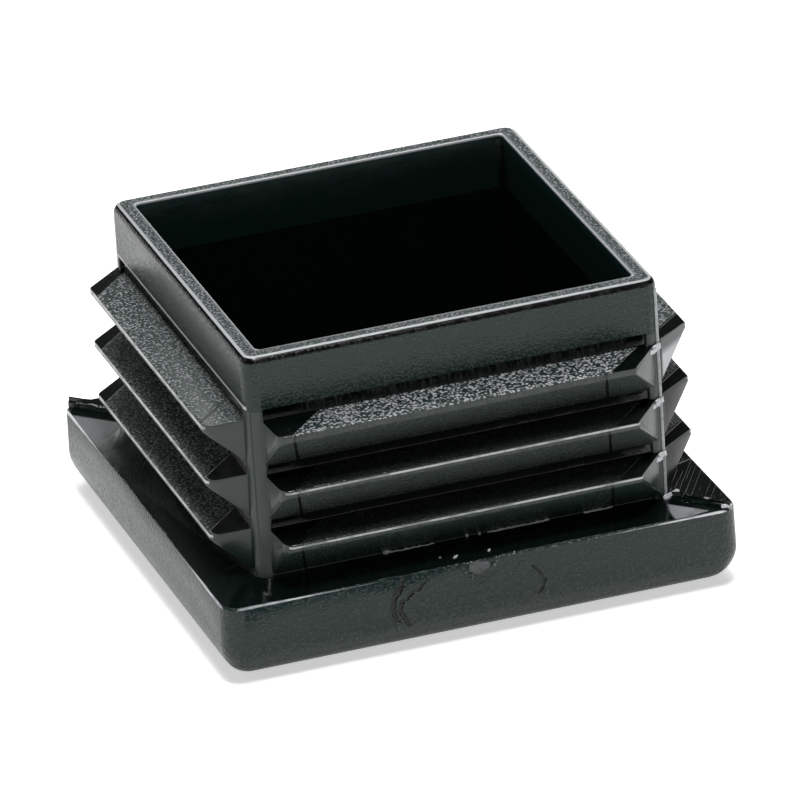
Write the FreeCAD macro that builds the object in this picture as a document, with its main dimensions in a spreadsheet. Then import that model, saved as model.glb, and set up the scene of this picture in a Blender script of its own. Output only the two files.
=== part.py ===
import FreeCAD, Part
import math
import os
import Sketcher

# Square tube end cap, moulded in one piece: a head that covers the end of the tube, and a
# hollow sleeve with three rows of barbs on each side that grips inside the tube.
# It stands on its head. The origin is the middle of the head's outer face, and +Z runs along
# the sleeve to its open end.

DOC = FreeCAD.newDocument("TubeEndCap")
SHEET = DOC.addObject("Spreadsheet::Sheet", "Sizes")
NODE = "tube_end_cap"

# Driving dimensions, in millimetres and degrees: alias, value, meaning
SIZES = [
    ("head_side", 25.0, "Head across its flats, the same as the tube's outer size"),
    ("head_height", 3.88, "Head, from its outer face to the shoulder that meets the tube"),
    ("head_round", 1.8, "Rounding round the head's outer face"),
    ("head_corner", 1.0, "Radius of the head's upright corners"),
    ("head_sink", 0.16, "Shrinkage of the shoulder's edge at the middle of each side"),
    ("shoulder_break", 0.1, "Width of the shoulder's broken edge"),
    ("shoulder_width", 2.5, "Shoulder on each side, from the sleeve to the head's side"),
    ("sleeve_length", 11.02, "Sleeve, from the shoulder to its open end"),
    ("sleeve_corner", 0.65, "Radius of the sleeve's upright corners"),
    ("rim_round", 0.35, "Rounding of the open end's outer edge"),
    ("sleeve_wall", 0.9, "Wall of the sleeve at its collar and posts"),
    ("cavity_corner", 0.3, "Radius of the cavity's upright corners"),
    ("floor_thick", 2.0, "Plastic left under the cavity"),
    ("collar_height", 2.62, "Plain collar at the open end"),
    ("wall_relief", 0.2, "Wall between the barbs, set in from the collar"),
    ("post_width", 0.75, "Plain corner post, beside each end of the barbs"),
    ("barb_reach", 1.85, "A barb's nose, out from its posts and collar"),
    ("barb_pitch", 2.72, "From one row of barbs to the next"),
    ("barb_drop", 0.76, "From the collar's lower edge to the top of the first nose"),
    ("nose_flat", 0.18, "Upright flat of a barb's nose"),
    ("nose_round", 0.1, "Radius above and below that flat"),
    ("barb_top_angle", 2.0, "Slope of a barb's top, up to the wall"),
    ("barb_under_angle", 43.0, "Slope of a barb's underside, down to the wall"),
    ("barb_end_angle", 5.0, "Lean of each end of a barb, in towards its nose"),
    ("barb_end_lap", 0.05, "How far each end of a barb laps onto its post"),
    ("barb_end_round", 0.58, "Radius of a barb's outer corner, seen along the sleeve"),
    ("parting_end_angle", 40.0, "Lean of the ends at the two corners where the mould parts"),
    ("parting_end_lap", 0.35, "How far an end laps onto its post at those corners"),
    ("parting_end_round", 0.3, "Radius of a barb's outer corner there"),
]
ROWS = 3
SIDES = 4
FULL_TURN = 360.0
BARB_ROOT = 0.5       # length of a barb's profile that lies inside the wall
CLEAR = 1.0           # how far a cut runs past the plastic that it trims
ABOVE = 0.05          # how far above the shoulder that cut stops, to leave the shoulder whole
END_OVER = 0.03       # how far a barb's end rounding runs past the nose, to meet it at an angle
NEAR = 1e-4           # two lengths closer than this are the same
DIAGONAL = 45.0
RIM = "(Sizes.head_height + Sizes.sleeve_length)"
COLLAR_EDGE = "(Sizes.head_height + Sizes.sleeve_length - Sizes.collar_height)"
POST_FACE = "(Sizes.head_side / 2 - Sizes.shoulder_width)"
NOSE = "(Sizes.head_side / 2 - Sizes.shoulder_width + Sizes.barb_reach)"


def fill_sheet():
    for row, (alias, value, meaning) in enumerate(SIZES, start=1):
        SHEET.set("A%d" % row, meaning)
        SHEET.set("B%d" % row, str(value))
        SHEET.setAlias("B%d" % row, alias)
    DOC.recompute()


def size(alias):
    return float(getattr(SHEET, alias))


def post_face():
    return size("head_side") / 2 - size("shoulder_width")


def nose_reach():
    return post_face() + size("barb_reach")


def rim():
    return size("head_height") + size("sleeve_length")


def collar_edge():
    return rim() - size("collar_height")


def vec(across, up):
    return FreeCAD.Vector(across, up, 0)


def origin_item(body, role):
    return [item for item in body.Origin.OriginFeatures if item.Role == role][0]


def sketch_on(body, role, name, offset=None, turn=0.0):
    """A sketch on one of the body's origin planes, or at an offset and a turn on its normal."""
    sketch = body.newObject("Sketcher::SketchObject", name)
    sketch.AttachmentSupport = (origin_item(body, role), "")
    sketch.MapMode = "FlatFace"
    sketch.AttachmentOffset = FreeCAD.Placement(vec(0, 0), FreeCAD.Rotation(turn, 0, 0))
    if offset:
        sketch.setExpression("AttachmentOffset.Base.z", offset)
    return sketch


def rule(sketch, kind, *places):
    """Add a geometric constraint."""
    sketch.addConstraint(Sketcher.Constraint(kind, *places))


def drive(sketch, formula, kind, *places):
    """Add a dimension, tied to the sheet."""
    index = sketch.addConstraint(Sketcher.Constraint(kind, *places))
    sketch.setExpression("Constraints[%d]" % index, formula)


def line(sketch, start, end):
    return sketch.addGeometry(Part.LineSegment(start, end), False)


def arc(sketch, centre, radius, first, last):
    circle = Part.Circle(centre, FreeCAD.Vector(0, 0, 1), radius)
    return sketch.addGeometry(Part.ArcOfCircle(circle, first, last), False)


def rectangle(sketch, low, high):
    """An upright rectangle; returns its lines from the lowest, anticlockwise."""
    corners = [low, vec(high.x, low.y), high, vec(low.x, high.y)]
    lines = [line(sketch, *ends) for ends in zip(corners, corners[1:] + corners[:1])]
    for first, second in zip(lines, lines[1:] + lines[:1]):
        rule(sketch, "Coincident", first, 2, second, 1)
    for level, upright in zip(lines[0::2], lines[1::2]):
        rule(sketch, "Horizontal", level)
        rule(sketch, "Vertical", upright)
    return lines


def square(sketch, side, formula):
    """A square centred on the sketch's origin."""
    lines = rectangle(sketch, vec(-side / 2, -side / 2), vec(side / 2, side / 2))
    rule(sketch, "Symmetric", lines[0], 1, lines[2], 1, -1, 1)
    rule(sketch, "Equal", lines[0], lines[1])
    drive(sketch, formula, "DistanceX", lines[0], 1, lines[0], 2, side)


def check_change(body, before, name, adds):
    """A feature that adds has to gain plastic, and one that cuts has to lose some."""
    gained = body.Shape.Volume - before
    if abs(gained) < NEAR or (gained > 0) != adds:
        raise RuntimeError("%s changes nothing, or the wrong way" % name)


def extrude(body, kind, sketch, name, length, both_ways=False):
    """A pad or a pocket of the sketch."""
    before = body.Shape.Volume if body.Tip else 0.0
    feature = body.newObject("PartDesign::" + kind, name)
    feature.Profile = sketch
    if both_ways:
        feature.SideType = "Symmetric"
    feature.setExpression("Length", length)
    DOC.recompute()
    check_change(body, before, name, kind == "Pad")
    return feature


def dress(body, kind, name, width, formula, test):
    """Round or break every edge that passes the test; width is the feature's own size."""
    base = body.Tip
    edges = ["Edge%d" % place for place, edge in enumerate(base.Shape.Edges, start=1) if test(edge)]
    if not edges:
        raise RuntimeError("%s finds no edge" % name)
    feature = body.newObject("PartDesign::" + kind, name)
    feature.Base = (base, edges)
    feature.setExpression(width, formula)
    DOC.recompute()


def fillet(body, name, radius, test):
    dress(body, "Fillet", name, "Radius", radius, test)


def is_upright(edge, half_side):
    """A straight edge along Z, at a corner of a square of that half side."""
    start, end = edge.Vertexes[0].Point, edge.Vertexes[-1].Point
    same_spot = abs(start.x - end.x) < NEAR and abs(start.y - end.y) < NEAR
    at_corner = abs(abs(start.x) - half_side) < NEAR and abs(abs(start.y) - half_side) < NEAR
    return same_spot and at_corner


def is_level(edge, height):
    box = edge.BoundBox
    return abs(box.ZMin - height) < NEAR and abs(box.ZMax - height) < NEAR


def repeat(body, feature, steps, times=SIDES):
    """Repeat one feature by the steps, and then round the sleeve."""
    before = body.Shape.Volume
    turn = DOC.addObject("PartDesign::PolarPattern", feature.Name + "Turn")
    turn.Axis = (origin_item(body, "Z_Axis"), [""])
    turn.Angle = FULL_TURN
    turn.Occurrences = times
    whole = body.newObject("PartDesign::MultiTransform", feature.Name + "Repeats")
    whole.Originals = [feature]
    whole.Transformations = steps + [turn]
    body.Tip = whole
    DOC.recompute()
    check_change(body, before, whole.Name, feature.isDerivedFrom("PartDesign::Pad"))


def sink_section(body, name, height, depth, depth_formula):
    """What has shrunk away from one side of the head, at one height: a bow, closed outside."""
    sketch = sketch_on(body, "XY_Plane", name, height)
    half = size("head_side") / 2
    out = half + CLEAR
    left, right = vec(-half, half), vec(half, half)
    if depth:
        rise = (half * half - depth * depth) / (2 * depth)
        centre = vec(0, half + rise)
        reach = math.atan2(rise, half)
        bow = arc(sketch, centre, math.hypot(half, rise), math.pi + reach, 2 * math.pi - reach)
    else:
        bow = line(sketch, left, right)
    sides = [line(sketch, right, vec(half, out)), line(sketch, vec(half, out), vec(-half, out))]
    sides.append(line(sketch, vec(-half, out), left))
    for first, second in zip([bow] + sides, sides + [bow]):
        rule(sketch, "Coincident", first, 2, second, 1)
    rule(sketch, "Vertical", sides[0])
    rule(sketch, "Horizontal", sides[1])
    rule(sketch, "Vertical", sides[2])
    rule(sketch, "Symmetric", bow, 1, bow, 2, -2)
    drive(sketch, "Sizes.head_side", "DistanceX", bow, 1, bow, 2, 2 * half)
    drive(sketch, "Sizes.head_side / 2", "DistanceY", -1, 1, bow, 1, half)
    drive(sketch, "Sizes.head_side / 2 + %s" % CLEAR, "DistanceY", -1, 1, sides[1], 1, out)
    if depth:
        formula = "(Sizes.head_side^2 / 4 + %s^2) / (2 * %s)" % (depth_formula, depth_formula)
        drive(sketch, formula, "Radius", bow, math.hypot(half, rise))
    return sketch


def make_sink(body):
    """As the head cooled, its shoulder's edge shrank in at the middle of each side."""
    start = "Sizes.head_round + Sizes.shoulder_break"
    straight = sink_section(body, "SinkStart", start, 0.0, "")
    bowed = sink_section(body, "SinkEdge", "Sizes.head_height", size("head_sink"), "Sizes.head_sink")
    before = body.Shape.Volume
    sink = body.newObject("PartDesign::SubtractiveLoft", "Sink")
    sink.Profile = straight
    sink.Sections = [bowed]
    sink.Ruled = True
    DOC.recompute()
    check_change(body, before, sink.Name, False)
    repeat(body, sink, [])


def make_head(body):
    """A square slab, rounded round its outer face and down its corners."""
    sketch = sketch_on(body, "XY_Plane", "HeadOutline")
    square(sketch, size("head_side"), "Sizes.head_side")
    extrude(body, "Pad", sketch, "Head", "Sizes.head_height")
    make_sink(body)
    fillet(body, "HeadRound", "Sizes.head_round", lambda edge: is_level(edge, 0.0))
    half = size("head_side") / 2
    fillet(body, "HeadCorners", "Sizes.head_corner", lambda edge: is_upright(edge, half))
    top = size("head_height")
    dress(body, "Chamfer", "ShoulderBreak", "Size", "Sizes.shoulder_break",
          lambda edge: is_level(edge, top))


def make_core(body):
    """What carries the barbs while they are made: it lies inside the sleeve's wall."""
    sketch = sketch_on(body, "XY_Plane", "CoreOutline", "Sizes.floor_thick")
    side = 2 * (post_face() - size("wall_relief") - BARB_ROOT)
    square(sketch, side, "2 * (%s - Sizes.wall_relief - %s)" % (POST_FACE, BARB_ROOT))
    extrude(body, "Pad", sketch, "Core", RIM + " - Sizes.floor_thick - Sizes.rim_round")


def post_outline(body):
    """Plan of one corner post: a square with its outer corner rounded."""
    sketch = sketch_on(body, "XY_Plane", "PostOutline", "Sizes.floor_thick")
    far = post_face()
    near = far - size("post_width")
    radius = size("sleeve_corner")
    centre = vec(far - radius, far - radius)
    low = line(sketch, vec(near, near), vec(far, near))
    right = line(sketch, vec(far, near), vec(far, far - radius))
    corner = arc(sketch, centre, radius, 0, math.pi / 2)
    top = line(sketch, vec(far - radius, far), vec(near, far))
    left = line(sketch, vec(near, far), vec(near, near))
    rule(sketch, "Coincident", low, 2, right, 1)
    rule(sketch, "Tangent", right, 2, corner, 1)
    rule(sketch, "Tangent", corner, 2, top, 1)
    rule(sketch, "Coincident", top, 2, left, 1)
    rule(sketch, "Coincident", left, 2, low, 1)
    rule(sketch, "Horizontal", low)
    rule(sketch, "Vertical", right)
    rule(sketch, "Horizontal", top)
    rule(sketch, "Vertical", left)
    drive(sketch, "Sizes.sleeve_corner", "Radius", corner, radius)
    drive(sketch, POST_FACE, "DistanceX", -1, 1, right, 1, far)
    drive(sketch, POST_FACE, "DistanceY", -1, 1, top, 2, far)
    drive(sketch, POST_FACE + " - Sizes.post_width", "DistanceX", -1, 1, low, 1, near)
    drive(sketch, POST_FACE + " - Sizes.post_width", "DistanceY", -1, 1, low, 1, near)
    return sketch


def collar_outline(body):
    """Plan of the collar: a square with rounded corners."""
    sketch = sketch_on(body, "XY_Plane", "CollarOutline", COLLAR_EDGE)
    far, radius = post_face(), size("sleeve_corner")
    near = far - radius
    items = []
    for side in range(SIDES):
        turn = FreeCAD.Rotation(FULL_TURN / SIDES * side, 0, 0)
        start, end, middle = [turn.multVec(place) for place in
                              (vec(far, -near), vec(far, near), vec(near, near))]
        first = math.pi / 2 * side
        items.append(line(sketch, start, end))
        items.append(arc(sketch, middle, radius, first, first + math.pi / 2))
    for first, second in zip(items, items[1:] + items[:1]):
        rule(sketch, "Tangent", first, 2, second, 1)
    right, top, left = items[0], items[2], items[4]
    rule(sketch, "Vertical", right)
    rule(sketch, "Horizontal", top)
    rule(sketch, "Vertical", left)
    for corner in items[3::2]:
        rule(sketch, "Equal", items[1], corner)
    rule(sketch, "Symmetric", right, 1, left, 1, -1, 1)
    drive(sketch, "Sizes.sleeve_corner", "Radius", items[1], radius)
    drive(sketch, POST_FACE, "DistanceX", -1, 1, right, 2, far)
    drive(sketch, POST_FACE, "DistanceY", -1, 1, top, 1, far)
    return sketch


def make_sleeve(body):
    """The wall, set in between its four corner posts, and the collar above them."""
    sketch = sketch_on(body, "XY_Plane", "WallOutline", "Sizes.floor_thick")
    side = 2 * (post_face() - size("wall_relief"))
    square(sketch, side, "2 * (%s - Sizes.wall_relief)" % POST_FACE)
    up_to_collar = COLLAR_EDGE + " - Sizes.floor_thick"
    extrude(body, "Pad", sketch, "Wall", up_to_collar)
    post = extrude(body, "Pad", post_outline(body), "Post", up_to_collar)
    repeat(body, post, [])
    extrude(body, "Pad", collar_outline(body), "Collar", "Sizes.collar_height")
    top = rim()
    fillet(body, "RimRound", "Sizes.rim_round", lambda edge: is_level(edge, top))


def barb_profile(body):
    """Section of a barb: an almost level top, a blunt nose, and an underside that slopes in."""
    sketch = sketch_on(body, "YZ_Plane", "BarbProfile")
    reach = nose_reach()
    nose_top = collar_edge() - size("barb_drop")
    nose_low = nose_top - size("nose_flat")
    root = post_face() - size("wall_relief") - BARB_ROOT
    radius = size("nose_round")
    rise, fall = math.radians(size("barb_top_angle")), math.radians(size("barb_under_angle"))
    over, below = math.pi / 2 - rise, math.pi / 2 - fall
    upper_mid, lower_mid = vec(reach - radius, nose_top), vec(reach - radius, nose_low)
    crest = upper_mid + vec(radius * math.cos(over), radius * math.sin(over))
    foot = lower_mid + vec(radius * math.cos(below), -radius * math.sin(below))
    wall_high = vec(root, crest.y + (crest.x - root) * math.tan(rise))
    wall_low = vec(root, foot.y - (foot.x - root) * math.tan(fall))
    top = line(sketch, crest, wall_high)
    wall = line(sketch, wall_high, wall_low)
    under = line(sketch, wall_low, foot)
    lower = arc(sketch, lower_mid, radius, -below, 0)
    flat = line(sketch, vec(reach, nose_low), vec(reach, nose_top))
    upper = arc(sketch, upper_mid, radius, 0, over)
    rule(sketch, "Coincident", top, 2, wall, 1)
    rule(sketch, "Coincident", wall, 2, under, 1)
    rule(sketch, "Tangent", under, 2, lower, 1)
    rule(sketch, "Tangent", lower, 2, flat, 1)
    rule(sketch, "Tangent", flat, 2, upper, 1)
    rule(sketch, "Tangent", upper, 2, top, 1)
    rule(sketch, "Vertical", wall)
    rule(sketch, "Vertical", flat)
    rule(sketch, "Equal", upper, lower)
    drive(sketch, "Sizes.nose_round", "Radius", upper, radius)
    drive(sketch, NOSE, "DistanceX", -1, 1, flat, 2, reach)
    drive(sketch, COLLAR_EDGE + " - Sizes.barb_drop", "DistanceY", -1, 1, flat, 2, nose_top)
    drive(sketch, "Sizes.nose_flat", "DistanceY", flat, 1, flat, 2, nose_top - nose_low)
    drive(sketch, POST_FACE + " - Sizes.wall_relief - %s" % BARB_ROOT, "DistanceX",
          -1, 1, wall, 1, root)
    drive(sketch, "180 - Sizes.barb_top_angle", "Angle", -1, 1, top, 1, math.pi - rise)
    drive(sketch, "Sizes.barb_under_angle", "Angle", -1, 1, under, 1, fall)
    return sketch


def barb_end_outline(body, name, kind, turn):
    """Plan of what is cut from a barb's end: the end leans in, then turns round to the nose.
    It starts inside the wall, clear of the core and of the wall's own face."""
    sketch = sketch_on(body, "XY_Plane", name, COLLAR_EDGE, turn)
    post = post_face()
    peak = nose_reach() + END_OVER
    end = post - size("post_width") + size(kind + "_lap")
    radius = size(kind + "_round")
    lean = math.radians(size(kind + "_angle"))
    inner = post - size("wall_relief") - BARB_ROOT / 2
    foot = vec(end + (post - inner) * math.tan(lean), inner)
    turn = vec(radius * math.cos(lean), radius * math.sin(lean))
    bend_y = peak - radius + turn.y
    bend = vec(end - (bend_y - post) * math.tan(lean), bend_y)
    centre = bend - turn
    tip = centre + vec(0, radius)
    far = vec(post, peak + CLEAR)
    side = line(sketch, foot, bend)
    turned = arc(sketch, centre, radius, lean, math.pi / 2)
    out = line(sketch, tip, vec(tip.x, far.y))
    over = line(sketch, vec(tip.x, far.y), far)
    down = line(sketch, far, vec(far.x, inner))
    back = line(sketch, vec(far.x, inner), foot)
    crossing = sketch.addGeometry(Part.Point(vec(end, post)), True)
    rule(sketch, "Tangent", side, 2, turned, 1)
    rule(sketch, "Coincident", turned, 2, out, 1)
    rule(sketch, "Vertical", turned, 3, turned, 2)
    rule(sketch, "Coincident", out, 2, over, 1)
    rule(sketch, "Coincident", over, 2, down, 1)
    rule(sketch, "Coincident", down, 2, back, 1)
    rule(sketch, "Coincident", back, 2, side, 1)
    for level, upright in ((over, out), (back, down)):
        rule(sketch, "Horizontal", level)
        rule(sketch, "Vertical", upright)
    drive(sketch, "Sizes.%s_round" % kind, "Radius", turned, radius)
    drive(sketch, "90 + Sizes.%s_angle" % kind, "Angle", -1, 1, side, 1, math.pi / 2 + lean)
    rule(sketch, "PointOnObject", crossing, 1, side)
    drive(sketch, POST_FACE + " - Sizes.post_width + Sizes.%s_lap" % kind, "DistanceX",
          -1, 1, crossing, 1, end)
    drive(sketch, POST_FACE, "DistanceY", -1, 1, crossing, 1, post)
    drive(sketch, POST_FACE + " - Sizes.wall_relief - %s / 2" % BARB_ROOT, "DistanceY",
          -1, 1, side, 1, inner)
    drive(sketch, NOSE + " + %s" % END_OVER, "DistanceY", -1, 1, turned, 2, peak)
    drive(sketch, POST_FACE, "DistanceX", -1, 1, over, 2, post)
    drive(sketch, str(CLEAR), "DistanceY", turned, 2, over, 2, CLEAR)
    return sketch


def trim_ends(body, name, kind, turn):
    """Trim the ends of the barbs that meet at one corner, and at the corner opposite."""
    sketch = barb_end_outline(body, name + "Outline", kind, turn)
    depth = COLLAR_EDGE + " - Sizes.head_height - %s" % ABOVE
    trim = extrude(body, "Pocket", sketch, name, depth)
    diagonal = body.newObject("PartDesign::Plane", name + "Diagonal")
    diagonal.AttachmentSupport = (origin_item(body, "YZ_Plane"), "")
    diagonal.MapMode = "FlatFace"
    swing = FreeCAD.Rotation(FreeCAD.Vector(0, 1, 0), turn - DIAGONAL)
    diagonal.AttachmentOffset = FreeCAD.Placement(vec(0, 0), swing)
    next_side = DOC.addObject("PartDesign::Mirrored", name + "NextSide")
    next_side.MirrorPlane = (diagonal, [""])
    repeat(body, trim, [next_side], times=2)


def make_barbs(body):
    """Rows of barbs on the four sides, with their outer corners rounded."""
    barb = extrude(body, "Pad", barb_profile(body), "Barb",
                   "2 * %s - Sizes.post_width / 2" % POST_FACE, both_ways=True)
    rows = DOC.addObject("PartDesign::LinearPattern", "BarbRows")
    rows.Direction = (origin_item(body, "Z_Axis"), [""])
    rows.Reversed = True
    rows.setExpression("Length", "Sizes.barb_pitch * %d" % (ROWS - 1))
    rows.Occurrences = ROWS
    repeat(body, barb, [rows])
    trim_ends(body, "BarbEnd", "barb_end", 0.0)
    trim_ends(body, "PartingEnd", "parting_end", -FULL_TURN / SIDES)


def make_cavity(body):
    """The sleeve is hollow from its open end down to the floor."""
    sketch = sketch_on(body, "XY_Plane", "CavityOutline", RIM)
    side = 2 * (post_face() - size("sleeve_wall"))
    square(sketch, side, "2 * (%s - Sizes.sleeve_wall)" % POST_FACE)
    extrude(body, "Pocket", sketch, "Cavity", RIM + " - Sizes.floor_thick")
    fillet(body, "CavityCorners", "Sizes.cavity_corner", lambda edge: is_upright(edge, side / 2))


def check_document(body):
    failed = [item.Name for item in DOC.Objects if {"Invalid", "Error"} & set(item.State)]
    if failed:
        raise RuntimeError("failed: " + ", ".join(failed))
    if body.Shape.isNull() or not body.Shape.isValid() or len(body.Shape.Solids) != 1:
        raise RuntimeError(body.Label + " is not one sound solid")


def main():
    fill_sheet()
    body = DOC.addObject("PartDesign::Body", "TubeEndCap")
    body.Label = NODE
    make_head(body)
    make_core(body)
    make_barbs(body)
    make_sleeve(body)
    make_cavity(body)
    DOC.recompute()
    check_document(body)
    os.makedirs("parts", exist_ok=True)
    body.Shape.exportStep("parts/%s.step" % body.Label)
    print("%s: %.1f mm3, %d faces" % (body.Label, body.Shape.Volume, len(body.Shape.Faces)))


main()
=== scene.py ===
import math
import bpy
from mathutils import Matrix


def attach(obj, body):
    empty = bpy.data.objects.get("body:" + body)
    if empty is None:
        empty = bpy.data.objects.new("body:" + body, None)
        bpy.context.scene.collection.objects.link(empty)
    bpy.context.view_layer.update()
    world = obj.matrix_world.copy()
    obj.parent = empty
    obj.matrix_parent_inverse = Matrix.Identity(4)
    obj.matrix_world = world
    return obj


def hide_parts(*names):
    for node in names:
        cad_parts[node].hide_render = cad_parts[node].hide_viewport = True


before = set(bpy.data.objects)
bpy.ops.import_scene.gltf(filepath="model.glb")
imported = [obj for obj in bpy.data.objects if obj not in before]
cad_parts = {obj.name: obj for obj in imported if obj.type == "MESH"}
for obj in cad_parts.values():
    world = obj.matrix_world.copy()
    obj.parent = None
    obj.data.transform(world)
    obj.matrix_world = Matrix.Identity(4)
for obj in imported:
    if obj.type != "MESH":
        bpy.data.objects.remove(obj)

from types import SimpleNamespace

import bpy
from bpy.props import FloatProperty, FloatVectorProperty, PointerProperty
from mathutils import Matrix, Vector

# A square tube end cap, moulded in black polyethylene. The cap stands on its head on a pale
# floor. Lengths are in metres in the meshes; a length named in millimetres is turned by MM.

bl_info = {
    "name": "Square tube end cap",
    "version": (1, 0, 0),
    "blender": (4, 5, 0),
    "location": "View3D > Sidebar > End cap",
    "description": "Moulded square tube end cap with its plastic, mould marks and studio",
    "category": "Object",
}

NODE = "tube_end_cap"
BODY = "root"
MM = 0.001

# Places on the cap, in millimetres. The head's outer face is at 0 and the rim on top.
SHOULDER = 3.88
COLLAR_EDGE = 12.28
RIM = 14.9
HALF_HEAD = 12.5
HALF_SLEEVE = 10.0
SLEEVE_CORNER = 0.65
HALF_CAVITY = 9.1
WALL = 9.8
BARB_REACH = 11.85
BARB_ROWS = 3
FIRST_NOSE = 11.52
BARB_PITCH = 2.72
TOP_ROW = 10.5

# The eroded fields on the tops and on the undersides of the barbs. Their ends slant across
# each face, the way the mould opened: slant, shift along the face, half length.
TOP_FIELD = (1.0, -11.0, 7.78)
SIDE_FIELD = (0.34, -3.13, 7.5)

# Flow marks on the front of the head: places (x, z) along each mark, and its half width
FLOW_MARKS = (
    (((-3.87, 3.89), (-4.05, 3.3), (-4.43, 2.80), (-4.47, 2.10), (-4.3, 1.7)), 0.14),
    (((-2.75, 3.35), (-3.26, 3.00), (-4.06, 2.52), (-4.13, 2.13), (-3.79, 1.39)), 0.12),
    (((2.3, 3.1), (2.72, 2.7), (2.9, 2.3), (2.72, 1.9), (2.3, 1.6)), 0.08),
)
FLOW_MIDDLE = (-0.6, 0.0, 3.9)

# Torn flash: start and end of each bar on the plan, width, foot and crest, and cuts.
# The bars of END_FLASH stand at each nose, the others on the shoulder.
END_FLASH = (
    ((8.6, -10.78, 0.0), (9.7, -10.08, 0.0), 0.05, -0.16, 0.03, 9),
    ((9.5, -10.10, 0.0), (9.95, -9.92, 0.0), 0.06, -0.10, 0.16, 7),
)
ROOT_FLASH = ((-3.9, -1.5), (1.1, 4.1), (5.8, 7.2))

# The gate: place and radii of each lump of its stub, then place and size of each crumb
GATE_LUMPS = (
    ((-0.42, -12.47, 3.62), (0.36, 0.06, 0.27)),
    ((-0.06, -12.47, 3.60), (0.34, 0.06, 0.24)),
    ((-0.28, -12.47, 3.42), (0.30, 0.05, 0.22)),
    ((-0.60, -12.47, 3.14), (0.05, 0.04, 0.18)),
)
GATE_CRUMBS = (
    ((-1.76, -11.41, 3.90), 0.05), ((-1.14, -11.71, 3.90), 0.07),
    ((-1.02, -11.62, 3.90), 0.04), ((0.51, -11.71, 3.90), 0.06),
    ((0.80, -9.85, 4.16), 0.08), ((0.70, -9.85, 3.92), 0.06),
    ((0.10, -9.85, 3.98), 0.07), ((-3.85, -9.86, 3.94), 0.12),
    ((-0.90, -12.46, 3.42), 0.07), ((-0.98, -12.44, 3.62), 0.05),
    ((-0.62, -12.47, 3.02), 0.04), ((0.49, -12.46, 3.52), 0.07),
    ((0.60, -12.44, 3.66), 0.04), ((-1.30, -12.36, 3.84), 0.06),
    ((0.95, -12.36, 3.86), 0.05),
)

# Roughness of the finishes
ROUGH_POLISHED = 0.09
ROUGH_SMOOTH = (0.16, 0.22)
ROUGH_SIDES = 0.27
ROUGH_TORN = 0.3
ROUGH_ERODED = 0.4

BLACK = (0.001, 0.001, 0.001, 1.0)
WHITE = (1.0, 1.0, 1.0, 1.0)

# The studio, in metres and degrees. The camera is fitted to the cap's own edges.
FLOOR_SIZE = 6.0
FLOOR_GAP = 0.00002
BACKDROP_GLOW = 0.55
GLOSSY_SHARE = 0.65
LAMPS = (
    ("lamp_over", "over", 0.38, (0.05, 0.32, 0.53)),
    ("lamp_top", "top", 0.14, (0.0, -0.12, 0.60)),
    ("lamp_left", "left", 0.35, (-0.50, 0.18, 0.35)),
    ("lamp_right", "right", 0.25, (0.52, -0.25, 0.06)),
)
LAMP_TARGET = (0.0, 0.0, 0.007)
CAMERA_TURN = -17.369
CAMERA_LIFT = 24.715
CAMERA_ROLL = -3.815
CAMERA_TARGET = (0.000427, 0.000075, 0.006595)
CAMERA_DISTANCE = 0.50617
CAMERA_LENS = 489.456
CAMERA_SENSOR = 36.0


class CapPlasticSettings(bpy.types.PropertyGroup):
    colour: FloatVectorProperty(
        name="Plastic", description="Colour of the black plastic", subtype="COLOR",
        size=3, min=0.0, max=1.0, default=(0.006, 0.022, 0.018))
    # The torn colour is partly the real whitened colour of torn flash and partly painted
    # highlight: it also paints the pale edge lines, the upper front top and the end-face
    # reflection.
    torn: FloatVectorProperty(
        name="Torn plastic", description="Colour where the plastic was torn or stretched thin",
        subtype="COLOR", size=3, min=0.0, max=1.0, default=(0.75, 0.76, 0.79))
    # The specks' pale colour is partly the real greyness of the rough texture and partly painted
    # glints, where the lamps catch its facets.
    eroded: FloatVectorProperty(
        name="Eroded plastic", description="Colour of the specks of the eroded texture",
        subtype="COLOR", size=3, min=0.0, max=1.0, default=(0.36, 0.37, 0.38))
    # The underside colour is lighter than the plastic: painted light, standing in for the floor's
    # bounce on the barbs' undersides.
    below: FloatVectorProperty(
        name="Underside", description="Colour of the undersides of the barbs",
        subtype="COLOR", size=3, min=0.0, max=1.0, default=(0.052, 0.066, 0.060))
    grain_size: FloatProperty(
        name="Grain size", description="Width of one speck of the eroded texture",
        unit="LENGTH", min=0.00005, max=0.001, default=0.00014)
    grain_depth: FloatProperty(
        name="Grain depth", description="Depth of the eroded texture",
        unit="LENGTH", min=0.0, max=0.0002, default=0.00006)


class CapMarkSettings(bpy.types.PropertyGroup):
    ridge_height: FloatProperty(
        name="Ridge height", description="Height of the parting ridge on the shoulder",
        unit="LENGTH", min=0.0001, max=0.001, default=0.00045)
    fin: FloatProperty(
        name="Parting fin", description="How far the parting line stands out of the sleeve",
        unit="LENGTH", min=0.00002, max=0.0003, default=0.00008)


class CapStageSettings(bpy.types.PropertyGroup):
    floor: FloatVectorProperty(
        name="Floor", description="Colour of the floor", subtype="COLOR",
        size=3, min=0.0, max=1.0, default=(0.82, 0.82, 0.82))
    over: FloatProperty(
        name="Lamp over the cap", description="Power of the soft lamp over the cap, in watts",
        min=0.0, max=20.0, default=2.6)
    top: FloatProperty(
        name="Small lamp above", description="Power of the small lamp right above, in watts",
        min=0.0, max=20.0, default=2.2)
    left: FloatProperty(
        name="Lamp on the left", description="Power of the soft lamp on the left, in watts",
        min=0.0, max=20.0, default=0.22)
    right: FloatProperty(
        name="Lamp on the right", description="Power of the soft lamp on the right, in watts",
        min=0.0, max=20.0, default=0.34)


def deselect_all():
    if bpy.context.object and bpy.context.object.mode != "OBJECT":
        bpy.ops.object.mode_set(mode="OBJECT")
    bpy.ops.object.select_all(action="DESELECT")


def activate(piece):
    deselect_all()
    piece.select_set(True)
    bpy.context.view_layer.objects.active = piece


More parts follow.
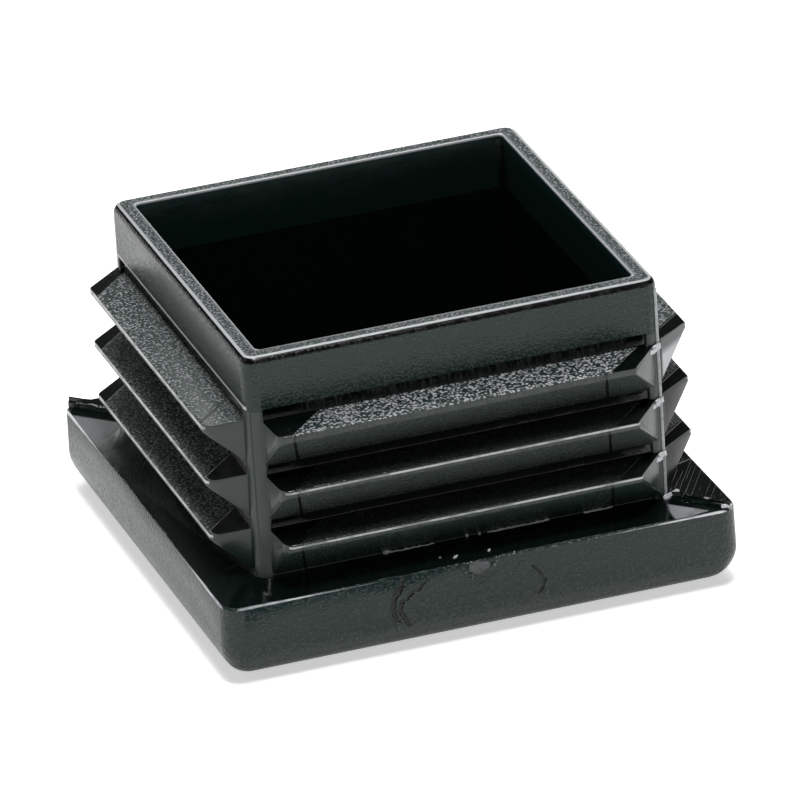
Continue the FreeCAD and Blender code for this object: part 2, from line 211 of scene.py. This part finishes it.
class Nodes:
    """A short hand for building a node tree."""

    def __init__(self, tree):
        self.tree = tree
        tree.nodes.clear()

    def add(self, kind, inputs=None, **values):
        node = self.tree.nodes.new(kind)
        for name, value in values.items():
            setattr(node, name, value)
        for key, value in (inputs or {}).items():
            if isinstance(value, bpy.types.NodeSocket):
                self.tree.links.new(value, node.inputs[key])
            else:
                node.inputs[key].default_value = value
        return node

    def math(self, operation, first, second=0.0, clamp=False):
        node = self.add("ShaderNodeMath", {0: first, 1: second}, operation=operation,
                        use_clamp=clamp)
        return node.outputs[0]

    def vector(self, operation, first, second=(0.0, 0.0, 0.0)):
        node = self.add("ShaderNodeVectorMath", {0: first, 1: second}, operation=operation)
        return node.outputs["Value" if operation in ("DOT_PRODUCT", "DISTANCE", "LENGTH")
                            else "Vector"]

    def scaled(self, vector, factor):
        node = self.add("ShaderNodeVectorMath", {0: vector, "Scale": factor}, operation="SCALE")
        return node.outputs["Vector"]

    def parts(self, vector):
        return self.add("ShaderNodeSeparateXYZ", {0: vector}).outputs

    def without(self, value):
        """1 where the value is 0, and 0 where it is 1."""
        return self.math("SUBTRACT", 1.0, value)

    def times(self, *values):
        product = values[0]
        for value in values[1:]:
            product = self.math("MULTIPLY", product, value)
        return product

    def plus(self, *values):
        total = values[0]
        for value in values[1:]:
            total = self.math("ADD", total, value)
        return total

    def most(self, *values):
        top = values[0]
        for value in values[1:]:
            top = self.math("MAXIMUM", top, value)
        return top

    def ramp(self, value, low, high):
        """0 at low, 1 at high, also where high is the smaller."""
        node = self.add("ShaderNodeMapRange", {0: value, 1: low, 2: high},
                        interpolation_type="SMOOTHSTEP")
        return node.outputs[0]

    def band(self, value, low, high, blur):
        """1 between low and high, 0 outside."""
        return self.times(self.ramp(value, low - blur, low), self.ramp(value, high + blur, high))

    def near(self, value, place, half):
        """1 at place, 0 from half on."""
        gap = self.math("ABSOLUTE", self.math("SUBTRACT", value, place))
        return self.ramp(gap, half, half * 0.35)

    def mix(self, factor, first, second):
        """Between two numbers."""
        return self.add("ShaderNodeMix", {0: factor, 2: first, 3: second}).outputs[0]

    def blend(self, factor, first, second):
        """Between two colours."""
        return self.add("ShaderNodeMix", {0: factor, 6: first, 7: second},
                        data_type="RGBA").outputs[2]

    def noise(self, place, scale, detail=2.0, rough=0.5):
        return self.add("ShaderNodeTexNoise", {"Vector": place, "Scale": scale,
                                               "Detail": detail, "Roughness": rough}).outputs[0]

    def stroke(self, place, points, half):
        """1 on the runs between the points, 0 from half on."""
        marks = []
        for first, second in zip(points, points[1:]):
            run = Vector(second) - Vector(first)
            off = self.vector("SUBTRACT", place, first)
            part = self.math("DIVIDE", self.vector("DOT_PRODUCT", off, run), run.length_squared,
                             clamp=True)
            gap = self.vector("DISTANCE", off, self.scaled(run, part))
            marks.append(self.ramp(gap, half, half * 0.3))
        return self.most(*marks)


def place_in_mm(n):
    place = n.add("ShaderNodeTexCoord").outputs["Object"]
    return n.vector("MULTIPLY", place, (1.0 / MM, 1.0 / MM, 1.0 / MM))


def find_place(n):
    """Where a point is on the cap, in millimetres, and how far it faces up."""
    at = SimpleNamespace(mm=place_in_mm(n))
    at.x, at.y, at.z = n.parts(at.mm)
    at.up = n.parts(n.add("ShaderNodeNewGeometry").outputs["Normal"])[2]
    wide, deep = n.math("ABSOLUTE", at.x), n.math("ABSOLUTE", at.y)
    at.out, at.along = n.most(wide, deep), n.math("MINIMUM", wide, deep)
    # along a face, positive towards the parting corner
    at.front_or_back = n.math("GREATER_THAN", deep, wide)
    at.run = n.mix(at.front_or_back, n.times(at.y, n.math("SIGN", at.x), -1.0),
                   n.times(at.x, n.math("SIGN", at.y), -1.0))
    at.front = n.ramp(at.y, -9.7, -9.8)
    at.cloud = n.noise(at.mm, 0.9, 2.0)
    at.broken = n.ramp(at.cloud, 0.38, 0.58)
    return at


def past_field(n, at, slant, shift, half):
    """How far a point is past the end of an eroded field, along its face."""
    return n.plus(n.math("ABSOLUTE", n.plus(at.run, n.times(at.out, slant), shift)), -half)


def find_finishes(n, at):
    """Where each finish of the moulded surface is: 1 on it, and 0 elsewhere."""
    on = SimpleNamespace()
    on_top = n.ramp(at.up, 0.5, 0.6)
    on.rows = n.band(at.z, SHOULDER + 0.15, COLLAR_EDGE - 0.1, 0.05)
    off_wall = n.ramp(at.out, WALL + 0.02, WALL + 0.06)
    barb = n.times(on.rows, off_wall)
    on.under = n.times(barb, n.without(on_top))
    on.land = n.times(on.rows, n.without(off_wall), n.ramp(at.along, 9.3, 9.2))
    on.rim = n.times(n.ramp(at.z, RIM - 0.2, RIM - 0.05), n.ramp(at.up, 0.985, 0.995))
    on.shoulder = n.times(n.near(at.z, SHOULDER, 0.3), n.ramp(at.up, 0.7, 0.9))
    on.inside = n.times(n.ramp(at.out, HALF_CAVITY + 0.02, HALF_CAVITY - 0.02),
                        n.ramp(at.z, RIM - 0.1, RIM - 0.7))
    on.sides = n.times(n.without(n.most(barb, on.shoulder, on.rim)),
                       n.ramp(at.out, HALF_SLEEVE - 0.12, HALF_SLEEVE - 0.08))

    # the middle of each barb is eroded, and its ends are smooth
    past_side = past_field(n, at, *SIDE_FIELD)
    edge = n.mix(on_top, past_side, past_field(n, at, *TOP_FIELD))
    on.middle = n.ramp(edge, 0.0, -0.12)
    ends = n.times(barb, n.without(on.middle), on_top)
    # the top row on the left is eroded right to its near end
    whole = n.times(ends, n.ramp(at.z, TOP_ROW - 0.1, TOP_ROW + 0.1), n.ramp(at.x, -9.8, -9.9),
                    n.ramp(at.y, 0.0, -1.0))
    on.ends = n.math("SUBTRACT", ends, whole)
    on.tops = n.plus(n.times(barb, on.middle, on_top), n.times(whole, 0.8))
    # painted shade: the front tops of the lower rows, shaded by the row above
    on.lower_front = n.times(on.tops, at.front, n.ramp(at.z, TOP_ROW + 0.1, TOP_ROW - 0.1))
    # painted light: the front top of the upper row, where the lamp above falls
    on.upper_front = n.times(on.tops, at.front, n.ramp(at.z, TOP_ROW - 0.1, TOP_ROW + 0.1))

    # the mould's inserts left a line at the ends of the fields, and below on the wall
    line_below = n.times(n.near(past_side, 0.0, 0.09), n.ramp(at.z, 5.0, 4.9),
                         n.ramp(at.out, WALL - 0.1, WALL - 0.05),
                         n.ramp(at.out, HALF_HEAD - 0.15, HALF_HEAD - 0.2),
                         n.ramp(at.z, SHOULDER - 0.08, SHOULDER - 0.03))
    on.seam = n.most(n.times(barb, n.near(edge, 0.0, 0.09)), line_below)
    return on


def find_specks(n, at, grain_size):
    """The dots of the eroded texture."""
    size = MM / grain_size
    cells = n.add("ShaderNodeTexVoronoi", {"Vector": at.mm, "Scale": size})
    dots = n.ramp(cells.outputs["Distance"], 0.62, 0.25)
    return n.times(dots, n.ramp(n.noise(at.mm, size * 0.7, 1.0, 0.6), 0.30, 0.52))


def find_milling(n, at, on):
    """Lines that cross the shoulder at a slant, on the left and the right of the head."""
    turned = n.add("ShaderNodeVectorRotate", {"Vector": at.mm, "Angle": math.radians(-60)},
                   rotation_type="Z_AXIS").outputs[0]
    turned = n.vector("MULTIPLY", turned, (0.22, 9.0, 0.22))
    milled = n.times(on.shoulder, n.ramp(at.run, 3.0, 4.5), n.without(at.front_or_back))
    return n.times(milled, n.ramp(n.noise(turned, 1.0, 1.0, 0.6), 0.50, 0.62))


def find_flow_marks(n, at):
    """Strong marks and faint rings round the gate, on the front of the head."""
    head_front = n.ramp(at.y, -12.3, -12.4)
    sway = n.add("ShaderNodeTexNoise", {"Vector": at.mm, "Scale": 1.6, "Detail": 3.0})
    shift = n.scaled(n.vector("SUBTRACT", sway.outputs["Color"], (0.5, 0.5, 0.5)), 0.5)
    flat = n.vector("MULTIPLY", n.vector("ADD", at.mm, shift), (1.0, 0.0, 1.0))
    strong = n.most(*[n.stroke(flat, [(x, 0.0, z) for x, z in points], half)
                      for points, half in FLOW_MARKS])
    off = n.vector("MULTIPLY", n.vector("SUBTRACT", flat, FLOW_MIDDLE), (0.62, 1.0, 1.0))
    wave = n.math("SINE", n.times(n.vector("LENGTH", off), 13.0))
    faint = n.times(n.ramp(wave, 0.75, 0.97), n.band(at.x, -3.6, 2.6, 0.4),
                    n.band(at.z, 0.9, 3.3, 0.3))
    return n.times(head_front, strong), n.times(head_front, faint)


def find_end_faces(n, at, on):
    """The upright ends of the right-hand barbs, at the near corner."""
    upright = n.ramp(n.math("ABSOLUTE", at.up), 0.3, 0.2)
    return n.times(on.rows, upright, n.ramp(at.x, 10.1, 10.2), n.ramp(at.y, -7.9, -8.0))


def find_painted_edge_highlights(n, at, on, end_faces):
    """Painted highlights: pale lines along the sharp edges of the noses, the shoulder, the rim
    and the collar's foot, and a painted reflection on the top row's near right end faces.
    """
    drop = n.math("MODULO", n.math("SUBTRACT", FIRST_NOSE + 0.02, at.z), BARB_PITCH)
    nose = n.times(on.rows, n.ramp(at.out, BARB_REACH - 0.14, BARB_REACH - 0.08),
                   n.band(drop, 0.0, 0.08, 0.03), n.ramp(at.z, 11.0, 10.0), 0.9)
    left_nose = n.times(on.rows, n.ramp(at.x, 0.14 - BARB_REACH, 0.08 - BARB_REACH),
                        n.band(drop, 0.0, 0.12, 0.03))
    beside_gate = n.ramp(n.math("ABSOLUTE", n.plus(at.x, 0.4)), 1.9, 2.4)
    brim = n.times(n.band(at.z, SHOULDER - 0.09, SHOULDER + 0.1, 0.01),
                   n.ramp(at.out, HALF_HEAD - 0.14, HALF_HEAD - 0.10),
                   n.most(n.ramp(at.y, -12.0, -11.0), beside_gate))
    lip = n.times(n.ramp(at.z, RIM - 0.2, RIM - 0.1), n.band(at.up, 0.86, 0.975, 0.02))
    inner_lip = n.times(n.ramp(at.z, RIM - 0.12, RIM - 0.06),
                        n.ramp(at.out, HALF_CAVITY + 0.05, HALF_CAVITY + 0.02), 0.6)
    collar_foot = n.times(n.near(at.z, COLLAR_EDGE + 0.08, 0.13), n.ramp(at.x, -9.9, -9.95))
    # painted reflection of the floor on the top row's near right end face, paler low down
    painted_end_reflection = n.times(end_faces, n.ramp(at.z, 9.5, 9.7),
                       n.mix(n.ramp(at.z, 11.2, 10.7), 0.15, 0.9))
    return n.most(painted_end_reflection, n.times(n.most(nose, left_nose), n.mix(at.broken, 0.45, 1.0)),
                  n.times(brim, n.mix(at.broken, 0.5, 1.0)), n.times(lip, 0.55), inner_lip,
                  collar_foot)


def find_painted_shade_lines(n, at):
    """Painted shade: black lines under the rim, and above the collar's foot on the left."""
    under_rim = n.times(n.ramp(at.z, RIM - 0.45, RIM - 0.3), n.band(at.up, 0.25, 0.78, 0.05),
                        n.ramp(at.out, 9.5, 9.6))
    return n.most(under_rim, n.times(n.near(at.z, COLLAR_EDGE + 0.28, 0.13),
                                     n.ramp(at.x, -9.9, -9.95)))


def find_painted_sheen(n, at, on):
    """Painted reflection: paler patches of sheen on the shoulder beside the two parting ridges.
    """
    near = n.times(on.shoulder, n.ramp(n.plus(at.x, at.y), -0.95, -1.15),
                   n.ramp(n.plus(at.x, n.times(at.y, -0.25)), 12.18, 12.4),
                   n.ramp(n.plus(at.y, n.times(at.x, -0.22)), -14.65, -14.5),
                   n.ramp(at.x, 9.3, 9.5))
    far = n.times(on.shoulder, n.ramp(at.y, 3.5, 9.0), n.ramp(n.plus(at.x, at.y), -1.2, -1.5),
                  n.ramp(at.x, -10.5, -10.8), 0.55)
    return n.most(n.times(near, n.mix(at.broken, 0.6, 1.0)), far)


def make_plastic(settings):
    """The cap's black plastic, with its finishes and mould marks."""
    plastic = bpy.data.materials.new("black_plastic_moulded")
    plastic.use_nodes = True
    n = Nodes(plastic.node_tree)
    at = find_place(n)
    on = find_finishes(n, at)
    specks = find_specks(n, at, settings.grain_size)
    milling = find_milling(n, at, on)
    strong, faint = find_flow_marks(n, at)
    end_faces = find_end_faces(n, at, on)
    painted_highlights = find_painted_edge_highlights(n, at, on, end_faces)
    painted_sheen = find_painted_sheen(n, at, on)

    grain = n.plus(on.tops, n.times(on.under, on.middle, 0.5), n.times(on.rim, 0.8),
                   n.times(on.sides, 0.22), 0.02)
    height = n.plus(n.times(specks, grain, settings.grain_depth / MM), n.times(at.cloud, 0.02),
                    n.times(milling, 0.012), n.times(on.seam, -0.03), n.times(strong, -0.40),
                    n.times(faint, -0.006))
    bump = n.add("ShaderNodeBump", {"Height": height, "Strength": 1.0, "Distance": MM})

    # painted light: the undersides take the lighter underside colour in place of the floor's
    # bounce, with painted shade low down near the shoulder, which shades it
    underside_painted_bounce = n.times(on.under, n.mix(n.ramp(at.z, 5.4, 6.6), 0.25, 1.0))
    # painted shade: fewer pale specks on the lower front tops
    field = n.math("SUBTRACT", on.tops, n.times(on.lower_front, 0.85))
    # Black over the seams and flow marks, which are real, and painted shade: on the lands, the
    # smooth barb ends, the shoulder, the cavity, the lower right end faces and the painted shade
    # lines
    marks_and_painted_shade = n.most(n.times(on.seam, 0.9), strong, n.times(faint, 0.2),
                  n.times(on.lower_front, 0.75), n.times(on.land, 0.9), n.times(on.ends, 0.85),
                  n.times(on.shoulder, 0.8), n.times(on.inside, 0.95), find_painted_shade_lines(n, at),
                  n.times(end_faces, n.ramp(at.z, 9.6, 9.4), 0.9))
    eroded, torn = (*settings.eroded, 1.0), (*settings.torn, 1.0)
    colour = n.blend(underside_painted_bounce, (*settings.colour, 1.0), (*settings.below, 1.0))
    # specks on the tops, rim and sides: partly real texture, partly painted glints
    colour = n.blend(n.times(specks, n.most(field, n.times(on.rim, 0.75),
                                            n.times(on.sides, 0.08))), colour, eroded)
    # painted light: the upper row's front top gets paler specks in the torn colour
    colour = n.blend(n.times(specks, on.upper_front, 0.9), colour, torn)
    colour = n.blend(marks_and_painted_shade, colour, BLACK)
    # painted reflection: the paler patches on the shoulder
    colour = n.blend(n.times(painted_sheen, 0.8), colour, eroded)
    # painted highlights: the pale edge lines and end-face reflection take the torn colour
    colour = n.blend(painted_highlights, colour, torn)

    rough = n.mix(n.ramp(at.cloud, 0.35, 0.65), *ROUGH_SMOOTH)
    rough = n.mix(n.most(on.tops, on.rim), rough, ROUGH_ERODED)
    rough = n.mix(n.most(on.sides, on.under), rough, ROUGH_SIDES)
    rough = n.mix(n.most(on.land, on.shoulder, on.ends), rough, ROUGH_POLISHED)
    rough = n.mix(n.most(painted_sheen, painted_highlights), rough, ROUGH_ERODED)
    shader = n.add("ShaderNodeBsdfPrincipled", {
        "Base Color": colour, "Roughness": rough, "IOR": 1.5, "Specular IOR Level": 0.42,
        "Normal": bump.outputs[0]})
    n.add("ShaderNodeOutputMaterial", {"Surface": shader.outputs[0]})
    return plastic


def make_torn(settings):
    """Plastic that was torn or squeezed thin, and turned pale; its pale colour is also painted
    highlight on the thin flash and the parting fins. The gate's stub stays dull.
    """
    torn = bpy.data.materials.new("torn_plastic")
    torn.use_nodes = True
    n = Nodes(torn.node_tree)
    mm = place_in_mm(n)
    eroded = (*settings.eroded, 1.0)
    pale = n.blend(n.ramp(n.noise(mm, 2.6, 4.0, 0.7), 0.28, 0.46), eroded,
                   (*settings.torn, 1.0))
    dull = n.blend(n.times(n.noise(mm, 3.0, 3.0), 0.42), (*settings.colour, 1.0), eroded)
    at_gate = n.near(n.parts(mm)[1], -HALF_HEAD, 0.35)
    bump = n.add("ShaderNodeBump", {"Height": n.noise(mm, 6.0, 3.0), "Strength": 1.0,
                                    "Distance": 0.05 * MM})
    shader = n.add("ShaderNodeBsdfPrincipled", {
        "Base Color": n.blend(at_gate, pale, dull), "Roughness": ROUGH_TORN, "IOR": 1.5,
        "Normal": bump.outputs[0]})
    n.add("ShaderNodeOutputMaterial", {"Surface": shader.outputs[0]})
    return torn


def select_where(piece, test):
    """In edit mode, select the vertices whose place in millimetres passes the test."""
    bpy.ops.object.mode_set(mode="EDIT")
    bpy.ops.mesh.select_mode(type="VERT")
    bpy.ops.mesh.select_all(action="DESELECT")
    bpy.ops.object.mode_set(mode="OBJECT")
    for vertex in piece.data.vertices:
        vertex.select = test(vertex.co / MM)
    bpy.ops.object.mode_set(mode="EDIT")


def make_ragged(piece, amount, grain):
    """Roughen a piece with a Displace modifier, and apply it."""
    clouds = bpy.data.textures.new(piece.name + "_ragged", "CLOUDS")
    clouds.noise_scale = grain * MM
    clouds.noise_depth = 3
    displace = piece.modifiers.new("Ragged", "DISPLACE")
    displace.texture = clouds
    displace.texture_coords = "LOCAL"
    displace.direction = "RGB_TO_XYZ"
    displace.strength = amount * MM
    displace.mid_level = 0.5
    activate(piece)
    bpy.ops.object.modifier_apply(modifier=displace.name)


def finish_piece(piece):
    """Close, smooth and hand over a piece that rides on the cap."""
    activate(piece)
    bpy.ops.object.mode_set(mode="EDIT")
    bpy.ops.mesh.select_all(action="SELECT")
    bpy.ops.mesh.remove_doubles(threshold=0.0000005)
    bpy.ops.mesh.normals_make_consistent(inside=False)
    bpy.ops.object.mode_set(mode="OBJECT")
    bpy.ops.object.shade_smooth_by_angle(angle=math.radians(50))
    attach(piece, BODY)


def add_bar(name, start, end, width, foot, crest, cuts, crown=0.5, tip=0.4):
    """A bar between two places on the plan, from foot to crest. Its crown and its two ends
    are as thin as the shares say."""
    start, end = Vector(start), Vector(end)
    run = end - start
    turn = math.atan2(run.y, run.x)
    middle = (start + end) / 2
    deselect_all()
    bpy.ops.mesh.primitive_cube_add(size=1.0)
    bar = bpy.context.object
    bar.name = name
    bar.scale = (run.length * MM, width * MM, (crest - foot) * MM)
    bpy.ops.object.transform_apply(location=False, rotation=False, scale=True)
    bpy.ops.object.mode_set(mode="EDIT")
    bpy.ops.mesh.select_all(action="SELECT")
    bpy.ops.mesh.subdivide(number_cuts=cuts)
    half = run.length / 2
    select_where(bar, lambda co: co.z > 0.2 * (crest - foot))
    bpy.ops.transform.resize(value=(1.0, crown, 1.0))
    for end_side in (-1, 1):
        select_where(bar, lambda co: co.x * end_side > half * 0.86)
        bpy.ops.transform.resize(value=(1.0, tip, 1.0))
    bpy.ops.mesh.select_all(action="DESELECT")
    bpy.ops.object.mode_set(mode="OBJECT")
    bar.rotation_euler = (0.0, 0.0, turn)
    bar.location = (middle.x * MM, middle.y * MM, (foot + crest) / 2 * MM)
    bpy.ops.object.transform_apply(location=True, rotation=True, scale=True)
    return bar


def add_crumb(name, place, radii, ragged, grain):
    """A ragged lump of torn plastic."""
    deselect_all()
    bpy.ops.mesh.primitive_ico_sphere_add(subdivisions=3, radius=MM)
    crumb = bpy.context.object
    crumb.name = name
    crumb.scale = radii
    crumb.location = [value * MM for value in place]
    bpy.ops.object.transform_apply(location=True, rotation=True, scale=True)
    make_ragged(crumb, ragged, grain)
    return crumb


def join_pieces(name, pieces):
    deselect_all()
    for piece in pieces:
        piece.select_set(True)
    bpy.context.view_layer.objects.active = pieces[0]
    bpy.ops.object.join()
    joined = bpy.context.object
    joined.name = name
    return joined


class ENDCAP_OT_cap(bpy.types.Operator):
    """Mould the cap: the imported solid's surface, with its sharp edges broken"""
    bl_idname = "endcap.cap"
    bl_label = "Mould the cap"

    def execute(self, context):
        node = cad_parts[NODE]
        piece = bpy.data.objects.new("moulded_cap", node.data.copy())
        context.scene.collection.objects.link(piece)
        activate(piece)
        piece.data.materials.clear()
        bpy.ops.mesh.customdata_custom_splitnormals_clear()
        bpy.ops.object.mode_set(mode="EDIT")
        bpy.ops.mesh.select_all(action="SELECT")
        bpy.ops.mesh.remove_doubles(threshold=0.000001)
        bpy.ops.mesh.dissolve_limited(angle_limit=math.radians(0.3))
        bpy.ops.object.mode_set(mode="OBJECT")
        bevel = piece.modifiers.new("BrokenEdges", "BEVEL")
        bevel.width = 0.05 * MM
        bevel.segments = 2
        bevel.limit_method = "ANGLE"
        bevel.angle_limit = math.radians(50)
        bevel.use_clamp_overlap = False
        bpy.ops.object.modifier_apply(modifier=bevel.name)
        bpy.ops.object.shade_smooth_by_angle(angle=math.radians(40))
        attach(piece, BODY)
        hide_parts(NODE)
        return {"FINISHED"}


class ENDCAP_OT_ridges(bpy.types.Operator):
    """Raise the parting line at the two corners where the mould halves met"""
    bl_idname = "endcap.ridges"
    bl_label = "Raise the parting ridges"

    def execute(self, context):
        high = context.scene.endcap_marks.ridge_height / MM
        ridges = []
        for side, rise in ((1, 0.5), (-1, 1.0)):
            ridge = add_bar("shoulder_ridge", (side * 10.0, side * -9.9, 0.0),
                            (side * 12.15, side * -12.15, 0.0), 0.34, SHOULDER - 0.2,
                            SHOULDER + high * rise, cuts=12, crown=0.35, tip=0.5)
            make_ragged(ridge, 0.14, 0.40)
            ridges.append(ridge)
        piece = join_pieces("parting_ridges", ridges)
        finish_piece(piece)
        return {"FINISHED"}


class ENDCAP_OT_flash(bpy.types.Operator):
    """Leave the thin torn flash at the barb ends, the shoulder and the foot of the wall"""
    bl_idname = "endcap.flash"
    bl_label = "Leave the flash"

    def execute(self, context):
        bits = []
        for row in range(BARB_ROWS):
            nose = FIRST_NOSE - row * BARB_PITCH
            for start, end, width, foot, crest, cuts in END_FLASH:
                bits.append(add_bar("end_flash", start, end, width, nose + foot, nose + crest,
                                    cuts))
        for first, last in ROOT_FLASH:
            bits.append(add_bar("root_flash", (first, -9.84, 0.0), (last, -9.84, 0.0), 0.08,
                                SHOULDER - 0.03, SHOULDER + 0.06, cuts=20, tip=0.2))
        bits.append(add_bar("foot_flash", (9.6, -10.2, 0.0), (10.5, -9.75, 0.0), 0.18,
                            SHOULDER - 0.05, SHOULDER + 0.22, cuts=8))
        bits.append(add_bar("corner_flash", (11.75, -12.0, 0.0), (12.2, -12.22, 0.0), 0.22,
                            SHOULDER - 0.1, SHOULDER + 0.10, cuts=8, crown=0.6))
        for bit in bits:
            make_ragged(bit, 0.11, 0.16)
        fin = context.scene.endcap_marks.fin / MM
        corner = HALF_SLEEVE - SLEEVE_CORNER * (1.0 - math.sqrt(0.5))
        for side in (1, -1):
            foot = (side * (corner - 0.25), side * (0.25 - corner), 0.0)
            tip = (side * (corner + fin), side * (-corner - fin), 0.0)
            # the fins take the pale torn plastic, which partly paints the highlight along the
            # sleeve's corner edges
            blade = add_bar("parting_fin", foot, tip, 0.06, SHOULDER - 0.1, RIM - 0.45,
                            cuts=14, crown=1.0, tip=0.6)
            make_ragged(blade, 0.05, 0.5)
            bits.append(blade)
        piece = join_pieces("torn_flash", bits)
        finish_piece(piece)
        return {"FINISHED"}


class ENDCAP_OT_gate(bpy.types.Operator):
    """Leave the torn stub of the gate on the front of the head, and its crumbs"""
    bl_idname = "endcap.gate"
    bl_label = "Tear the gate"

    def execute(self, context):
        stub = join_pieces("gate_stub", [add_crumb("gate_stub", place, radii, 0.12, 0.20)
                                         for place, radii in GATE_LUMPS])
        # what stands above the shoulder is pressed down to it
        level = SHOULDER - 0.02
        select_where(stub, lambda co: co.z > level)
        bpy.ops.transform.resize(value=(1.0, 1.0, 0.2), center_override=(0.0, 0.0, level * MM))
        bpy.ops.object.mode_set(mode="OBJECT")
        finish_piece(stub)
        crumbs = [add_crumb("gate_crumb", place, (size * 1.2, size * 0.7, size * 1.1), 0.10, 0.07)
                  for place, size in GATE_CRUMBS]
        piece = join_pieces("gate_crumbs", crumbs)
        finish_piece(piece)
        return {"FINISHED"}


class ENDCAP_OT_plastic(bpy.types.Operator):
    """Give the cap and its mould marks their black plastic"""
    bl_idname = "endcap.plastic"
    bl_label = "Colour the plastic"

    def execute(self, context):
        settings = context.scene.endcap_plastic
        plastic, torn = make_plastic(settings), make_torn(settings)
        for name, material in (("moulded_cap", plastic), ("parting_ridges", plastic),
                               ("gate_stub", torn), ("torn_flash", torn),
                               ("gate_crumbs", torn)):
            piece = bpy.data.objects[name]
            piece.data.materials.clear()
            piece.data.materials.append(material)
        return {"FINISHED"}


class ENDCAP_OT_stage(bpy.types.Operator):
    """Set the floor, the lamps and the camera"""
    bl_idname = "endcap.stage"
    bl_label = "Set the stage"

    def execute(self, context):
        settings = context.scene.endcap_stage
        self.lay_floor(settings)
        self.light_world(context)
        self.add_lamps(context, settings)
        self.add_camera(context)
        context.scene.view_settings.view_transform = "Standard"
        return {"FINISHED"}

    def lay_floor(self, settings):
        """A pale floor that the camera and the gloss see as a white backdrop."""
        deselect_all()
        bpy.ops.mesh.primitive_plane_add(size=FLOOR_SIZE, location=(0.0, 0.0, -FLOOR_GAP))
        floor = bpy.context.object
        floor.name = "floor"
        bpy.ops.object.transform_apply(location=True, rotation=True, scale=True)
        pale = bpy.data.materials.new("pale_floor")
        pale.use_nodes = True
        n = Nodes(pale.node_tree)
        seen = n.add("ShaderNodeLightPath").outputs
        shown = n.most(seen["Is Camera Ray"], n.times(seen["Is Glossy Ray"], GLOSSY_SHARE),
                       seen["Is Transmission Ray"])
        paint = n.add("ShaderNodeBsdfDiffuse", {"Color": (*settings.floor, 1.0)})
        glow = n.add("ShaderNodeEmission", {"Color": WHITE,
                                            "Strength": n.times(shown, BACKDROP_GLOW)})
        both = n.add("ShaderNodeAddShader", {0: paint.outputs[0], 1: glow.outputs[0]})
        n.add("ShaderNodeOutputMaterial", {"Surface": both.outputs[0]})
        floor.data.materials.append(pale)

    def light_world(self, context):
        """A dim room over a pale sweep that ends eight degrees up."""
        world = bpy.data.worlds.new("dim_room")
        context.scene.world = world
        world.use_nodes = True
        n = Nodes(world.node_tree)
        lift = n.parts(n.add("ShaderNodeTexCoord").outputs["Generated"])[2]
        strength = n.mix(n.ramp(lift, 0.03, 0.14), 0.9, 0.05)
        back = n.add("ShaderNodeBackground", {"Color": WHITE, "Strength": strength})
        n.add("ShaderNodeOutputWorld", {"Surface": back.outputs[0]})

    def add_lamps(self, context, settings):
        for name, power, side, place in LAMPS:
            deselect_all()
            bpy.ops.object.light_add(type="AREA", location=place)
            lamp = context.object
            lamp.name = name
            lamp.data.energy = getattr(settings, power)
            lamp.data.size = side
            aim = Vector(LAMP_TARGET) - Vector(place)
            lamp.rotation_euler = aim.to_track_quat("-Z", "Y").to_euler()

    def add_camera(self, context):
        """The camera at the photograph's angle, with its slight roll."""
        turn, lift, roll = (math.radians(angle) for angle in
                            (CAMERA_TURN, CAMERA_LIFT, CAMERA_ROLL))
        back = Vector((math.sin(turn) * math.cos(lift), -math.cos(turn) * math.cos(lift),
                       math.sin(lift)))
        right = Vector((math.cos(turn), math.sin(turn), 0.0))
        above = back.cross(right)
        across = math.cos(roll) * right + math.sin(roll) * above
        upright = math.cos(roll) * above - math.sin(roll) * right
        deselect_all()
        bpy.ops.object.camera_add()
        camera = context.object
        camera.name = "camera"
        camera.data.sensor_width = CAMERA_SENSOR
        camera.data.lens = CAMERA_LENS
        camera.data.clip_start = 0.01
        camera.data.clip_end = 20.0
        spot = Matrix((across, upright, back)).transposed().to_4x4()
        spot.translation = Vector(CAMERA_TARGET) + back * CAMERA_DISTANCE
        camera.matrix_world = spot
        context.scene.camera = camera


class ENDCAP_PT_panel(bpy.types.Panel):
    bl_label = "End cap"
    bl_idname = "ENDCAP_PT_panel"
    bl_space_type = "VIEW_3D"
    bl_region_type = "UI"
    bl_category = "End cap"

    def draw(self, context):
        layout = self.layout
        scene = context.scene
        for group in (scene.endcap_plastic, scene.endcap_marks, scene.endcap_stage):
            box = layout.box()
            for prop in group.bl_rna.properties:
                if prop.identifier not in ("rna_type", "name"):
                    box.prop(group, prop.identifier)
        for operator in OPERATORS:
            layout.operator(operator.bl_idname)


SETTINGS = {"endcap_plastic": CapPlasticSettings, "endcap_marks": CapMarkSettings,
            "endcap_stage": CapStageSettings}
OPERATORS = (ENDCAP_OT_cap, ENDCAP_OT_ridges, ENDCAP_OT_flash, ENDCAP_OT_gate,
             ENDCAP_OT_plastic, ENDCAP_OT_stage)
CLASSES = tuple(SETTINGS.values()) + OPERATORS + (ENDCAP_PT_panel,)


def register():
    for cls in CLASSES:
        bpy.utils.register_class(cls)
    for name, group in SETTINGS.items():
        setattr(bpy.types.Scene, name, PointerProperty(type=group))


def unregister():
    for name in SETTINGS:
        delattr(bpy.types.Scene, name)
    for cls in reversed(CLASSES):
        bpy.utils.unregister_class(cls)


def main():
    register()
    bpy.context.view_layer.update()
    bpy.ops.endcap.cap()
    bpy.ops.endcap.ridges()
    bpy.ops.endcap.flash()
    bpy.ops.endcap.gate()
    bpy.ops.endcap.plastic()
    bpy.ops.endcap.stage()


if __name__ == "__main__":
    main()
